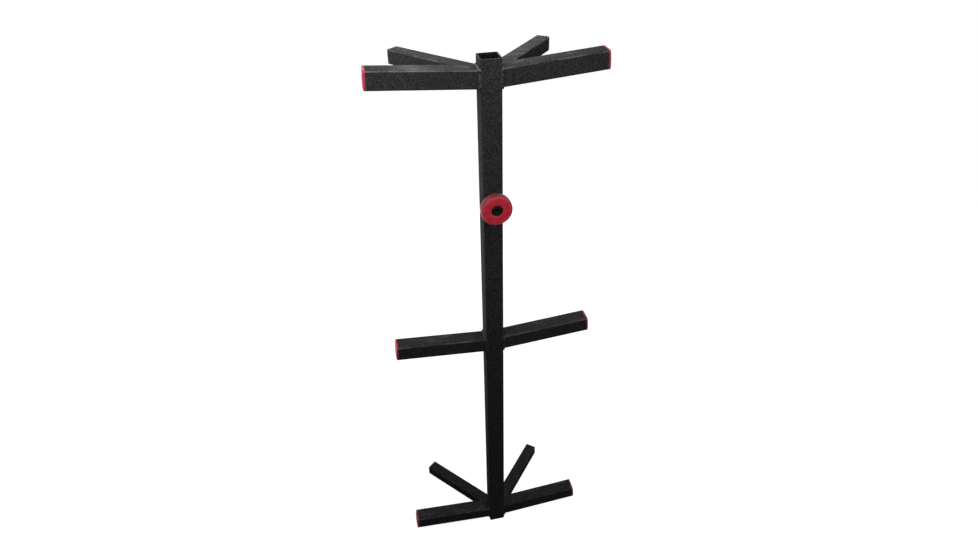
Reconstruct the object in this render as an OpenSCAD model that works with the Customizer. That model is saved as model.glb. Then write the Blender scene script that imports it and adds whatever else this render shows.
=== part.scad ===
// Climbing stick section for hunting from a tree: a square post with three
// pairs of welded steps, two vee stand-offs that bear on the trunk, and a
// button on the front that the strap hooks over.
//
// Frame: origin at the centre of the post's lower end, +Z up the post,
// +X to the climber's right, +Y towards the trunk. Millimetres.

/* [Post] */
// Outside width of the square post tube
post_w = 25.4; // [24:0.1:30]
// Wall of the post tube
post_wall = 1.6; // [1.2:0.1:2.5]
// Outside corner radius of the post tube
post_corner_r = 2.2; // [1.5:0.1:3]
// Length of the post
post_h = 812.8; // [800:0.1:1000]

/* [Steps] */
// Outside width of the square step tube
step_w = 22.2; // [20:0.1:23.5]
// Wall of the step tube
step_wall = 1.5; // [1.2:0.1:2.2]
// Outside corner radius of the step tube
step_corner_r = 2.0; // [1.5:0.1:3]
// Length of a step tube along its centre line, from the post to its cut end
step_len = 125.7; // [90:0.1:170]
// Rise of a step towards its outer end, in degrees
step_tilt = 4.4; // [0:0.1:8]
// Height at which the lowest pair's centre lines cross the post's
first_step_z = 18; // [14:0.5:40]
// Depth below the post's top at which the highest pair's centre lines cross
last_step_drop = 23.8; // [20:0.1:40]

/* [End caps] */
// Thickness of the cap's rim, outside the tube
cap_rim = 2; // [1.5:0.1:4]
// Rise of the cap's domed face above its corners
cap_rise = 0.8; // [0.6:0.1:3]
// Depth of the cap's shank inside the tube
cap_shank = 15; // [10:0.5:25]
// Wall of the hollow shank
cap_shank_wall = 1.3; // [1:0.1:2]
// Height of the grip fins above the shank
cap_fin_h = 1.1; // [0.6:0.1:1.5]
// Thickness of a grip fin
cap_fin_t = 1.2; // [0.8:0.1:1.6]
// Number of grip fins on a shank
cap_fins = 3; // [2:1:4]

/* [Stand-offs] */
// Outside width of the square stand-off tube
standoff_w = 18.1; // [14:0.1:19]
// Wall of the stand-off tube
standoff_wall = 1.4; // [1.2:0.1:2]
// Outside corner radius of the stand-off tube
standoff_corner_r = 1.8; // [1.5:0.1:2.5]
// Length of a stand-off from the post's rear corner to its tip
standoff_len = 130; // [90:0.5:180]
// Angle of a stand-off from the line of the steps, in degrees
standoff_angle = 50; // [46:0.5:58]

/* [Welds] */
// Radius of the bead round a step's root
step_bead_r = 2.2; // [2:0.1:4]
// Radius of the bead round a stand-off's root
standoff_bead_r = 2.6; // [2:0.1:3.5]

/* [Strap button] */
// Depth of the button's centre below the post's top
button_drop = 177.8; // [60:0.1:320]
// Diameter of the button's flange
button_d = 40; // [34:0.5:50]
// Thickness of the button's flange
button_flange_t = 11.3; // [10:0.1:14]
// Diameter of the neck that the strap loop sits on
button_neck_d = 20; // [18:0.5:24]
// Length of the neck, behind the flange
button_neck_len = 8.5; // [7:0.1:14]
// Radius on the flange's front and rear edges
button_edge_r = 1.4; // [0.8:0.1:3]
// Radius between the neck and the flange
button_root_r = 2.5; // [1:0.1:3]
// Diameter of the recess for the bolt's head
button_recess_d = 14; // [13.6:0.1:15]
// Outside diameter of the sleeve that the button turns on
sleeve_d = 10.5; // [10:0.1:11]
// Radial running clearance of the button on its sleeve
sleeve_clearance = 0.06; // [0.02:0.01:0.1]
// End play of the button at each end of its sleeve
end_play = 0.2; // [0.1:0.05:0.3]

/* [Bolt] */
// Diameter of the bolt
bolt_d = 8; // [6:0.1:8.4]
// Radial clearance of the bolt in its holes, its sleeve and its washers
bolt_clearance = 0.2; // [0.1:0.05:0.3]
// Diameter of the bolt's head
bolt_head_d = 13; // [12.4:0.1:13.4]
// Height of the bolt's head
bolt_head_h = 8; // [6:0.1:8.5]
// Depth of the head's top below the button's face
bolt_head_depth = 1; // [0.5:0.1:2]
// Width of the head's hexagon socket across its flats
bolt_key_w = 6; // [4:0.5:7]
// Depth of the head's hexagon socket
bolt_key_depth = 4; // [3:0.5:5]
// Length of bolt that stands out behind the nut
bolt_end = 2.6; // [1:0.1:6]
// Diameter of the washer behind the button
front_washer_d = 20; // [17:0.5:24]
// Diameter of the washer under the nut
back_washer_d = 16; // [15.5:0.5:22]
// Thickness of both washers
washer_t = 1.5; // [1:0.1:2.5]
// Width of the lock nut across its flats
nut_w = 13; // [12.5:0.1:14]
// Height of the lock nut's hexagon
nut_hex_h = 5.6; // [5:0.1:7]
// Height of the lock nut's round collar
nut_collar_h = 2.4; // [2:0.1:3]
// Thickness of the nylon ring inside the collar
nut_ring_h = 1.8; // [1.4:0.1:2]

/* [Hidden] */
$fn = 64;

// Sides and levels; the middle pair is halfway between the other two
left = -1;
right = 1;
bottom_z = first_step_z;
top_z = post_h - last_step_drop;
middle_z = (bottom_z + top_z) / 2;
button_z = post_h - button_drop;

// Finishes
coat = "#2c2f30";
red_plastic = "#a81f33";
black_steel = "#1b1c1e";
zinc = "#b9bcc0";
nylon = "#e8e6dc";

// Where a step's centre line leaves the post's side, and its cut end
post_side = post_w / 2;
step_start = post_side / cos(step_tilt);
step_end = step_start + step_len;

// Slack for a plastic plug in its tube, and for a nut's thread on the bolt
plug_slack = 0.05;
thread_slack = 0.05;
// How far a cutter runs past what it cuts
past = 1;

// Plug sizes inside the step tube
bore_w = step_w - 2 * step_wall;
fin_w = bore_w - 2 * plug_slack;
shank_w = fin_w - 2 * cap_fin_h;
fin_pitch = (cap_shank - cap_fin_t) / cap_fins;

// Radius of the sphere that the cap's face is part of
cap_corner = (step_w / 2 - step_corner_r) * sqrt(2) + step_corner_r;
cap_sphere_r = (cap_corner * cap_corner + cap_rise * cap_rise) / (2 * cap_rise);

// A stand-off tube runs this far back past the post's corner before it is coped
standoff_root = standoff_w / 2 * tan(standoff_angle) + post_corner_r;
// Half of its width as cut by the plane of the post's rear face
root_half = standoff_w / 2 / sin(standoff_angle);

// Stack of the strap button, from the post's front face outwards
button_len = button_neck_len + button_flange_t;
button_start = washer_t + end_play;
recess_depth = bolt_head_h + bolt_head_depth;
shoulder_len = button_len - recess_depth;
sleeve_len = shoulder_len + 2 * end_play;
head_start = washer_t + sleeve_len;
// Stack of the nut, from the post's rear face inwards
nut_h = nut_hex_h + nut_collar_h;
bolt_hole_d = bolt_d + 2 * bolt_clearance;
bolt_len = head_start + post_w + washer_t + nut_h + bolt_end;
nut_collar_d = nut_w - 1;
nut_collar_wall = 0.9;
nut_ring_d = nut_collar_d - 2 * nut_collar_wall;

// ---------- shared shapes ----------

module rounded_square(w, r) {
    square([w, w - 2 * r], center = true);
    square([w - 2 * r, w], center = true);
    for (x = [-1, 1], y = [-1, 1])
        translate([x * (w / 2 - r), y * (w / 2 - r)])
            circle(r = r);
}

// Section of a square tube; the inner corner follows the outer one
module tube_section(w, wall, r) {
    difference() {
        rounded_square(w, r);
        rounded_square(w - 2 * wall, max(r - wall, 0.4));
    }
}

// Extrudes a section along +X, its own x to Y and its own y to Z
module along_x(from, to) {
    translate([from, 0, 0])
        rotate([90, 0, 90])
            linear_extrude(height = to - from)
                children();
}

// Makes a right-hand piece, or its mirror image on the left
module on_side(side) {
    if (side == left)
        mirror([1, 0, 0]) children();
    else
        children();
}

// Frame of a right-hand step: +X outwards along its centre line
module step_frame(z) {
    translate([0, 0, z])
        rotate([0, -step_tilt, 0])
            children();
}

// Frame of a right-hand stand-off: +X from the post's rear corner to its tip
module standoff_frame(z) {
    translate([post_side, post_side, z])
        rotate([0, 0, standoff_angle])
            children();
}

// Frame of the strap button: +Z outwards from the post's front face
module button_frame() {
    translate([0, -post_side, button_z])
        rotate([90, 0, 0])
            children();
}

// Solid outsides of the tubes, for coping whatever meets them
module post_outside() {
    linear_extrude(height = post_h)
        rounded_square(post_w, post_corner_r);
}

module step_outside(z) {
    step_frame(z)
        along_x(0, step_end)
            rounded_square(step_w, step_corner_r);
}

module standoff_outside(z) {
    standoff_frame(z)
        along_x(-standoff_root, standoff_len)
            rounded_square(standoff_w, standoff_corner_r);
}

// Round bead along a run of points, with a ball at each bend
module bead(points, r, closed = false) {
    last = len(points) - 1;
    for (i = [0 : closed ? last : last - 1]) {
        start = points[i];
        run = points[i == last ? 0 : i + 1] - start;
        translate(start)
            rotate([0, acos(run[2] / norm(run)), atan2(run[1], run[0])])
                cylinder(r = r, h = norm(run));
    }
    for (i = [closed ? 0 : 1 : closed ? last : last - 1])
        translate(points[i]) sphere(r = r);
}

// ---------- post, steps and end caps ----------

module post_tube() {
    color(coat)
    difference() {
        linear_extrude(height = post_h)
            tube_section(post_w, post_wall, post_corner_r);
        button_frame()
            translate([0, 0, -post_w - past])
                cylinder(d = bolt_hole_d, h = post_w + 2 * past);
    }
}

// Tube cut flat against the post's side and square at its outer end
module step_tube(z, side) {
    color(coat)
    on_side(side)
    difference() {
        step_frame(z)
            along_x(0, step_end)
                tube_section(step_w, step_wall, step_corner_r);
        translate([post_side - post_w, -step_w, z - 2 * step_w])
            cube([post_w, 2 * step_w, 4 * step_w]);
    }
}

// Moulded plug: domed square face, hollow shank and grip fins
module end_cap(z, side) {
    color(red_plastic)
    on_side(side)
    step_frame(z)
    translate([step_end, 0, 0]) {
        difference() {
            union() {
                intersection() {
                    along_x(0, cap_rim + cap_rise)
                        rounded_square(step_w, step_corner_r);
                    translate([cap_rim + cap_rise - cap_sphere_r, 0, 0])
                        sphere(r = cap_sphere_r, $fn = 256);
                }
                along_x(-cap_shank, cap_rim / 2)
                    rounded_square(shank_w, step_corner_r / 2);
                for (i = [0 : cap_fins - 1])
                    along_x(-cap_shank + i * fin_pitch, -cap_shank + i * fin_pitch + cap_fin_t)
                        rounded_square(fin_w, step_corner_r / 2);
            }
            along_x(-cap_shank - past, 0)
                rounded_square(shank_w - 2 * cap_shank_wall, step_corner_r / 4);
        }
    }
}

// ---------- stand-offs ----------

// Tube coped to the post's rear corner and to the step's rear face; on a narrow
// post it is also mitred against its neighbour in the middle
module standoff_tube(z, side) {
    color(coat)
    on_side(side)
    difference() {
        standoff_frame(z)
            along_x(-standoff_root, standoff_len)
                tube_section(standoff_w, standoff_wall, standoff_corner_r);
        post_outside();
        step_outside(z);
        translate([-post_w, 0, z - standoff_w])
            cube([post_w, 2 * post_w, 2 * standoff_w]);
    }
}

// ---------- welds ----------

// Bead all round the root of a right-hand step
module step_bead(z) {
    half = step_w / 2 / cos(step_tilt);
    root_z = z + post_side * tan(step_tilt);
    bead([
        [post_side, -step_w / 2, root_z - half],
        [post_side, step_w / 2, root_z - half],
        [post_side, step_w / 2, root_z + half],
        [post_side, -step_w / 2, root_z + half]
    ], step_bead_r, closed = true);
}

module step_weld(z, side, with_standoff = true) {
    color(coat)
    on_side(side)
    difference() {
        step_bead(z);
        post_outside();
        step_outside(z);
        if (with_standoff)
            standoff_outside(z);
    }
}

// Bead on the step's rear face: over a stand-off's root, down its outer side
// and back under it
module standoff_weld(z, side) {
    half = standoff_w / 2;
    inner = post_side + step_bead_r;
    outer = post_side + root_half - (post_side - step_w / 2) / tan(standoff_angle);
    color(coat)
    on_side(side)
    difference() {
        bead([
            [inner, step_w / 2, z + half],
            [outer, step_w / 2, z + half],
            [outer, step_w / 2, z - half],
            [inner, step_w / 2, z - half]
        ], standoff_bead_r);
        step_outside(z);
        standoff_outside(z);
    }
}

// Upright wedge that fills the bottom of the vee between the two stand-offs
module vee_fill(z) {
    rise = standoff_bead_r * sin(standoff_angle);
    spread = standoff_bead_r * cos(standoff_angle);
    // where the stand-offs' inner faces leave the post, and where they would meet
    vee_x = post_side - root_half;
    vee_y = post_side - vee_x * tan(standoff_angle);
    translate([0, 0, z - standoff_w / 2])
        linear_extrude(height = standoff_w)
            polygon([
                [0, vee_y],
                [vee_x + spread, post_side + rise],
                [-vee_x - spread, post_side + rise]
            ]);
}

// The wedge, with a bead over and under both stand-offs on the post's rear face
module vee_weld(z) {
    half_run = post_side - step_bead_r;
    color(coat)
    difference() {
        union() {
            vee_fill(z);
            for (edge_z = [z - standoff_w / 2, z + standoff_w / 2])
                bead([[-half_run, post_side, edge_z], [half_run, post_side, edge_z]],
                    standoff_bead_r);
        }
        post_outside();
        standoff_outside(z);
        mirror([1, 0, 0]) standoff_outside(z);
    }
}

// ---------- strap button and its bolt ----------

// Half section of the spool: flange in front, neck behind, recess and bore
module button_section() {
    flange_r = button_d / 2;
    neck_r = button_neck_d / 2;
    difference() {
        union() {
            square([neck_r, button_len - button_edge_r]);
            // flange with rounded edges
            translate([0, button_neck_len + button_edge_r])
                square([flange_r, button_flange_t - 2 * button_edge_r]);
            translate([0, button_neck_len])
                square([flange_r - button_edge_r, button_flange_t]);
            for (y = [button_neck_len + button_edge_r, button_len - button_edge_r])
                translate([flange_r - button_edge_r, y])
                    circle(r = button_edge_r);
            // fillet from the neck out to the flange
            difference() {
                translate([neck_r, button_neck_len - button_root_r])
                    square(button_root_r);
                translate([neck_r + button_root_r, button_neck_len - button_root_r])
                    circle(r = button_root_r);
            }
        }
        translate([0, -past])
            square([sleeve_d / 2 + sleeve_clearance, button_len + 2 * past]);
        translate([0, shoulder_len])
            square([button_recess_d / 2, recess_depth + past]);
    }
}

module strap_button() {
    color(red_plastic)
    button_frame()
        translate([0, 0, button_start])
            rotate_extrude($fn = 96)
                button_section();
}

module ring(outer_d, inner_d, h) {
    difference() {
        cylinder(d = outer_d, h = h);
        translate([0, 0, -past])
            cylinder(d = inner_d, h = h + 2 * past);
    }
}

module button_sleeve() {
    color(zinc)
    button_frame()
        translate([0, 0, washer_t])
            ring(sleeve_d, bolt_hole_d, sleeve_len);
}

module button_bolt() {
    edge = 0.8;
    color(black_steel)
    button_frame()
        difference() {
            union() {
                translate([0, 0, head_start - bolt_len])
                    cylinder(d1 = bolt_d - 2 * edge, d2 = bolt_d, h = edge);
                translate([0, 0, head_start - bolt_len + edge])
                    cylinder(d = bolt_d, h = bolt_len - edge);
                translate([0, 0, head_start])
                    cylinder(d = bolt_head_d, h = bolt_head_h - edge);
                translate([0, 0, head_start + bolt_head_h - edge])
                    cylinder(d1 = bolt_head_d, d2 = bolt_head_d - 2 * edge, h = edge);
            }
            translate([0, 0, head_start + bolt_head_h - bolt_key_depth])
                cylinder(d = bolt_key_w / cos(30), h = bolt_key_depth + past, $fn = 6);
        }
}

module front_washer() {
    color(zinc)
    button_frame()
        ring(front_washer_d, bolt_hole_d, washer_t);
}

module back_washer() {
    color(zinc)
    button_frame()
        translate([0, 0, -post_w - washer_t])
            ring(back_washer_d, bolt_hole_d, washer_t);
}

// Frame of the nut: +Z away from the post's rear face
module nut_frame() {
    button_frame()
        translate([0, 0, -post_w - washer_t])
            mirror([0, 0, 1])
                children();
}

module lock_nut() {
    corner_d = nut_w / cos(30);
    color(zinc)
    nut_frame()
        difference() {
            union() {
                intersection() {
                    cylinder(d = corner_d, h = nut_hex_h, $fn = 6);
                    // cone that takes the corners off the hexagon's free end
                    cylinder(d1 = corner_d + nut_hex_h, d2 = nut_w - 0.2, h = nut_hex_h);
                }
                cylinder(d = nut_collar_d, h = nut_h);
            }
            translate([0, 0, -past])
                cylinder(d = bolt_d + 2 * thread_slack, h = nut_h + 2 * past);
            translate([0, 0, nut_h - nut_ring_h])
                cylinder(d = nut_ring_d + 2 * thread_slack, h = nut_ring_h + past);
        }
}

module nut_ring() {
    color(nylon)
    nut_frame()
        translate([0, 0, nut_h - nut_ring_h])
            ring(nut_ring_d, bolt_d + 2 * thread_slack, nut_ring_h);
}

post_tube();
step_tube(top_z, left);  // step_top_left
step_tube(top_z, right);  // step_top_right
step_tube(middle_z, left);  // step_middle_left
step_tube(middle_z, right);  // step_middle_right
step_tube(bottom_z, left);  // step_bottom_left
step_tube(bottom_z, right);  // step_bottom_right
end_cap(top_z, left);  // end_cap_top_left
end_cap(top_z, right);  // end_cap_top_right
end_cap(middle_z, left);  // end_cap_middle_left
end_cap(middle_z, right);  // end_cap_middle_right
end_cap(bottom_z, left);  // end_cap_bottom_left
end_cap(bottom_z, right);  // end_cap_bottom_right
standoff_tube(top_z, left);  // standoff_top_left
standoff_tube(top_z, right);  // standoff_top_right
standoff_tube(bottom_z, left);  // standoff_bottom_left
standoff_tube(bottom_z, right);  // standoff_bottom_right
step_weld(top_z, left);  // weld_step_top_left
step_weld(top_z, right);  // weld_step_top_right
step_weld(middle_z, left, with_standoff = false);  // weld_step_middle_left
step_weld(middle_z, right, with_standoff = false);  // weld_step_middle_right
step_weld(bottom_z, left);  // weld_step_bottom_left
step_weld(bottom_z, right);  // weld_step_bottom_right
standoff_weld(top_z, left);  // weld_standoff_top_left
standoff_weld(top_z, right);  // weld_standoff_top_right
standoff_weld(bottom_z, left);  // weld_standoff_bottom_left
standoff_weld(bottom_z, right);  // weld_standoff_bottom_right
vee_weld(top_z);  // weld_vee_top
vee_weld(bottom_z);  // weld_vee_bottom
strap_button();
button_sleeve();
button_bolt();
front_washer();
back_washer();
lock_nut();
nut_ring();
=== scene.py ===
# %% [markdown]
# # A climbing stick section: its finishes, its welds and its light
#
# The object is one section of a climbing stick for hunting from a tree. A
# square steel post carries three pairs of square steps, two vee stand-offs
# that bear on the trunk, and a red button that the strap hooks over. The
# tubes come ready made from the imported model, at their real size. This
# lesson keeps them where they are, gives every surface its finish, and
# builds finer meshes for the pieces that an exact solid leaves too plain:
# weld beads, moulded caps, the button and its bolt.

# %% Load the fixed model
import math
import random

import bmesh
import bpy
from mathutils import Matrix, Vector


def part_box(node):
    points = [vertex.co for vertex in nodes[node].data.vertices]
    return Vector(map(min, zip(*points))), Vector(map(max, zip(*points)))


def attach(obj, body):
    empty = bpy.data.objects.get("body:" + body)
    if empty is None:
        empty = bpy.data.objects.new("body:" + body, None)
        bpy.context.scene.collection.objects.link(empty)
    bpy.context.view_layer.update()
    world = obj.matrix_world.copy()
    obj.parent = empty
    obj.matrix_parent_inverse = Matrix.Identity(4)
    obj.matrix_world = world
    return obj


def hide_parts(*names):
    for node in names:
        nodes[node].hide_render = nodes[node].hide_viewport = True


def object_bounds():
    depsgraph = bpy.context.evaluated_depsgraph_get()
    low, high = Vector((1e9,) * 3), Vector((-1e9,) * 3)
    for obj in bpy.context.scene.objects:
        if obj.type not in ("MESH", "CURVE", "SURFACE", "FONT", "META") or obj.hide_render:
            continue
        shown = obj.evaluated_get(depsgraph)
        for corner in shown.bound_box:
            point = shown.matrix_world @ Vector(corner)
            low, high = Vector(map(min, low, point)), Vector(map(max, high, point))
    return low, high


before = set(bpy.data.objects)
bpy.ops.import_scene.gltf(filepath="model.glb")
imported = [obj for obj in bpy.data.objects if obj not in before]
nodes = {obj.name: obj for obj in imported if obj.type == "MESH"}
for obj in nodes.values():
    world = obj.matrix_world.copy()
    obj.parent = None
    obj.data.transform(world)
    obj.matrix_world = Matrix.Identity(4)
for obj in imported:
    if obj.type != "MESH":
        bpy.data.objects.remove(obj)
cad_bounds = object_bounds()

print("Pieces in the packed model:", len(nodes))

# %% [markdown]
# ## Units and names
#
# Blender works in metres here, but a maker thinks in millimetres, so one
# number turns one into the other. The steps and stand-offs come in pairs on
# a few levels, and their names are built from the words for side and level.
# That way one loop can serve all of them.

# %% Millimetres, sides and levels
MM = 0.001
SIDES = {"left": -1, "right": 1}
LEVELS = ("top", "middle", "bottom")
VEE_LEVELS = ("top", "bottom")
print("Steps:", len(SIDES) * len(LEVELS), "and stand-offs:", len(SIDES) * len(VEE_LEVELS))

# %% [markdown]
# ## Measuring the tubes
#
# A cut tube tells its own direction: the flat face at its end looks along
# its centre line. Measuring that face gives the tilt of a step or the splay
# of a stand-off, with no number typed twice. The face may be made of many
# small triangles, so all that lie in one plane are averaged by their area.

# %% What a flat face tells
LOOKS_THAT_WAY = 0.98
SAME_DIRECTION = 0.9999
SAME_PLANE = 0.05 * MM
SLIVER = 0.1 * MM ** 2
ROUGH_TILT = 0.08


def flat_face(node, towards):
    """Centre and normal of the furthest flat face of a node that looks a given way."""
    faces = nodes[node].data.polygons
    wanted = Vector(towards).normalized()
    facing = [p for p in faces if p.area > 0 and p.normal.dot(wanted) > LOOKS_THAT_WAY]
    furthest = max(facing, key=lambda p: (p.area > SLIVER, p.center.dot(wanted)))
    normal = furthest.normal.copy()
    plane = furthest.center.dot(normal)
    flat = [p for p in faces
            if p.normal.dot(normal) > SAME_DIRECTION
            and abs(p.center.dot(normal) - plane) < SAME_PLANE]
    area = sum(p.area for p in flat)
    centre = sum((p.center * p.area for p in flat), Vector()) / area
    return centre, normal


post_low, post_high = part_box("post_tube")
post_half = (post_high.x - post_low.x) / 2
step_low, step_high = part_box("step_top_right")
step_half = (step_high.y - step_low.y) / 2
_, step_axis = flat_face("step_top_right", (1, 0, ROUGH_TILT))
print(f"Post {2 * post_half / MM:.1f} mm wide, step {2 * step_half / MM:.1f} mm wide, "
      f"tilted {math.degrees(math.asin(step_axis.z)):.1f} degrees")

# %% [markdown]
# ## The camera
#
# The view looks down at the stick from the front, a little to its left, with
# a fairly wide lens held close, so the post narrows towards its foot. The
# camera is placed by its position, the way it faces, and a small roll. A
# Blender camera looks along its own minus Z, so its third axis is the
# opposite of the way ahead.

# %% Camera
LENS_MM, SENSOR_MM = 24.68, 36
CAMERA_AT = Vector((-0.16289, -0.72840, 1.03444))
YAW, PITCH, ROLL = (math.radians(a) for a in (12.28, 34.66, -1.05))

ahead = Vector((
    math.sin(YAW) * math.cos(PITCH),
    math.cos(YAW) * math.cos(PITCH),
    -math.sin(PITCH)))
sideways = Vector((math.cos(YAW), -math.sin(YAW), 0))
upwards = sideways.cross(ahead)
camera_x = math.cos(ROLL) * sideways + math.sin(ROLL) * upwards
camera_y = -math.sin(ROLL) * sideways + math.cos(ROLL) * upwards
facing_ahead = Matrix((camera_x, camera_y, -ahead)).transposed().to_4x4()

camera = bpy.data.objects.new("camera", bpy.data.cameras.new("camera"))
camera.data.sensor_width = SENSOR_MM
camera.data.lens = LENS_MM
camera.data.clip_start = 0.01
camera.matrix_world = Matrix.Translation(CAMERA_AT) @ facing_ahead
bpy.context.scene.collection.objects.link(camera)
bpy.context.scene.camera = camera
print(f"Camera {CAMERA_AT.length:.2f} m from the foot of the post, {LENS_MM:.1f} mm lens")

# %% [markdown]
# ## Writing shader maths as sums
#
# A finish is a chain of small calculations: noise here, a mask there, one
# mixed into the other. Wired by hand that soon hides what it does. The class
# below wraps a node's output socket and gives it plus, minus, times and
# `abs`, each of which adds a Math node, so `1 - mask * 0.4` reads as what it
# is. The reflected forms, such as `__rsub__`, are what Python calls when the
# plain number stands first.

# %% A socket that can be used in sums
class Value:
    """A node's output that joins in sums."""

    def __init__(self, owner, socket):
        self.owner = owner
        self.socket = socket

    def __add__(self, other):
        return self.owner.maths("ADD", self, other)

    def __radd__(self, other):
        return self.owner.maths("ADD", other, self)

    def __sub__(self, other):
        return self.owner.maths("SUBTRACT", self, other)

    def __rsub__(self, other):
        return self.owner.maths("SUBTRACT", other, self)

    def __mul__(self, other):
        return self.owner.maths("MULTIPLY", self, other)

    def __rmul__(self, other):
        return self.owner.maths("MULTIPLY", other, self)

    def __abs__(self):
        return self.owner.maths("ABSOLUTE", self)

    def between(self, start, end):
        """A smooth change from 0 at start to 1 at end, and level outside them."""
        return self.owner.add(
            "ShaderNodeMapRange",
            {"interpolation_type": "SMOOTHSTEP"},
            {"Value": self, "From Min": start, "From Max": end})


print("Sums that make nodes:", "+", "-", "*", "abs", "between")

# %% [markdown]
# One method, `add`, makes every kind of node: it takes the node's type, its
# settings, and what goes into its sockets, and gives back one output. A
# material and the world both have a tree of nodes, so both share it.

# %% A tree of nodes
class NodeTree:
    """A tree of nodes, and the one method that adds to it."""

    def __init__(self, tree):
        self.tree = tree
        tree.nodes.clear()

    def add(self, kind, settings=None, inputs=None, out=0):
        """Makes a node of a kind, sets it up, feeds its sockets, and gives one of its outputs."""
        node = self.tree.nodes.new(kind)
        for key, setting in (settings or {}).items():
            setattr(node, key, setting)
        for key, fed in (inputs or {}).items():
            if isinstance(fed, Value):
                self.tree.links.new(fed.socket, node.inputs[key])
            else:
                node.inputs[key].default_value = fed
        return Value(self, node.outputs[out]) if len(node.outputs) else None

    def maths(self, operation, *values, clamp=False):
        """A Math node on one or two values."""
        settings = {"operation": operation, "use_clamp": clamp}
        return self.add("ShaderNodeMath", settings, dict(enumerate(values)))


print("Any node is made with add(kind, settings, inputs, out)")

# %% [markdown]
# ## Helpers for a finish
#
# A material can't see a mesh as a whole. At each point it only knows where
# it is, which way it faces, and what noise gives there. These helpers turn
# that into words a maker would use. The sizes of noises are real sizes,
# because the point is read in metres in the object's own space, so nothing
# tiles, stretches or slides. Edges are found with a Bevel node: it rounds
# the normal near an edge, and where the rounded and the true normal differ,
# there is one.

# %% A finish
EDGE_SAMPLES, EDGE_GAIN = 6, 6


class Finish(NodeTree):
    """One material, and the helpers that build it."""

    def __init__(self, name, slot=None):
        self.name = name
        self.slot = slot
        self.material = bpy.data.materials.new(name)
        self.material.use_nodes = True
        super().__init__(self.material.node_tree)

    def point(self, scale=(1, 1, 1)):
        """The point on the object, in metres, stretched by a scale."""
        position = self.add("ShaderNodeTexCoord", out="Object")
        return self.add(
            "ShaderNodeVectorMath", {"operation": "MULTIPLY"}, {0: position, 1: scale})

    def normal(self):
        """The way the surface faces."""
        return self.add("ShaderNodeNewGeometry", out="Normal")

    def part(self, vector, axis):
        """The X, Y or Z of a vector."""
        return self.add("ShaderNodeSeparateXYZ", None, {0: vector}, out=axis)

    def from_line(self, centre):
        """Distance in metres from a line through a point that runs along Y."""
        return self.add(
            "ShaderNodeVectorMath", {"operation": "DISTANCE"},
            {0: self.point((1, 0, 1)), 1: (centre.x, 0, centre.z)}, out="Value")

    def noise(self, size, detail=3.0, rough=0.55, scale=(1, 1, 1), twist=0.0):
        """Cloudy noise from 0 to 1 whose blotches measure about size, in metres."""
        return self.add("ShaderNodeTexNoise", None, {
            "Vector": self.point(scale), "Scale": 1 / size, "Detail": detail,
            "Roughness": rough, "Distortion": twist})

    def edges(self, radius):
        """0 on flat faces, rising towards 1 on edges narrower than the radius."""
        rounded = self.add("ShaderNodeBevel", {"samples": EDGE_SAMPLES}, {"Radius": radius})
        same = self.add(
            "ShaderNodeVectorMath", {"operation": "DOT_PRODUCT"},
            {0: rounded, 1: self.normal()}, out="Value")
        return (1 - same) * EDGE_GAIN

    def mix(self, factor, a, b):
        """Colour a where factor is 0, colour b where it is 1."""
        return self.add("ShaderNodeMix", {"data_type": "RGBA"}, {0: factor, 6: a, 7: b}, out=2)

    def bump(self, height, depth):
        """Normals for a height from 0 to 1 that stands for a depth in metres."""
        return self.add("ShaderNodeBump", None, {"Height": height, "Distance": depth})

    def surface(self, **inputs):
        """Puts the surface shader on, with its sockets named by word."""
        named = {key.replace("_", " ").title().replace("Ior", "IOR"): fed
                 for key, fed in inputs.items()}
        shader = self.add("ShaderNodeBsdfPrincipled", None, named)
        self.add("ShaderNodeOutputMaterial", None, {"Surface": shader})
        print(f"Finish {self.name}: {len(self.tree.nodes)} nodes")
        return self


print("A finish is made with Finish(name, slot)")

# %% [markdown]
# A shader counts in linear light, while people pick colours as they look on
# a screen. This helper turns the second into the first.

# %% Colours
def colour(red, green, blue):
    """A colour from its screen values, 0 to 255, as the shader's linear numbers."""
    def linear(v):
        v /= 255
        return v / 12.92 if v <= 0.04045 else ((v + 0.055) / 1.055) ** 2.4
    return (linear(red), linear(green), linear(blue), 1)


print("Middle grey in linear light:", round(colour(128, 128, 128)[0], 3))

# %% [markdown]
# ## Powder coat
#
# The tubes and the welds are sprayed with a textured charcoal powder and
# baked. The coat melts into grains about a millimetre across, so it has no
# clear reflection. Its colour is painted paler on the grain's peaks and
# darker in its valleys, as painted highlight and painted shade, over a tone
# that also differs at random. A tiled image would repeat and stretch, so
# the grain is grown from noise at its real size. Two wider noises give the
# uneven tone of a sprayed coat.

# %% Grain and tone of the coat
COAT_GRAIN = 1.2 * MM
COAT_DEPTH = 0.34 * MM


def sprayed(coat, grain):
    """Charcoal, with painted shade in the grain's valleys and a painted highlight on its peaks.
    """
    cloud = coat.noise(4 * MM, detail=3).between(0.40, 0.70)
    drift = coat.noise(70 * MM, detail=2).between(0.35, 0.75)
    # Painted highlight on the grain's peaks and painted shade in its valleys.
    tone = coat.mix(grain.between(0.38, 0.66), colour(28, 28, 29), colour(73, 74, 74))
    tone = coat.mix(cloud * 0.3, tone, colour(45, 45, 45))
    return coat.mix(drift * 0.3, tone, colour(39, 39, 39))


print(f"Coat grain {COAT_GRAIN / MM:.1f} mm wide and {COAT_DEPTH / MM:.2f} mm deep")

# %% [markdown]
# Use rubs the coat in two ways. Sharp edges wear first, because the coat
# is thinnest there. Boots scuff the tops of the steps, in streaks across
# them. The rounded upper corners, where the surface turns from top to side,
# carry a painted highlight: a pale band, stronger in patches, that stands
# for the light they catch. Its mask is greatest halfway through the turn:
# `up * (1 - up)` is 0 on the top and on the side.

# %% Wear on the coat, and a painted highlight on its corners
def worn_edges(coat):
    """1 where a sharp edge has lost its coat, in patches."""
    return coat.edges(1.2 * MM) * coat.noise(5 * MM, detail=4).between(0.35, 0.65)


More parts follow.
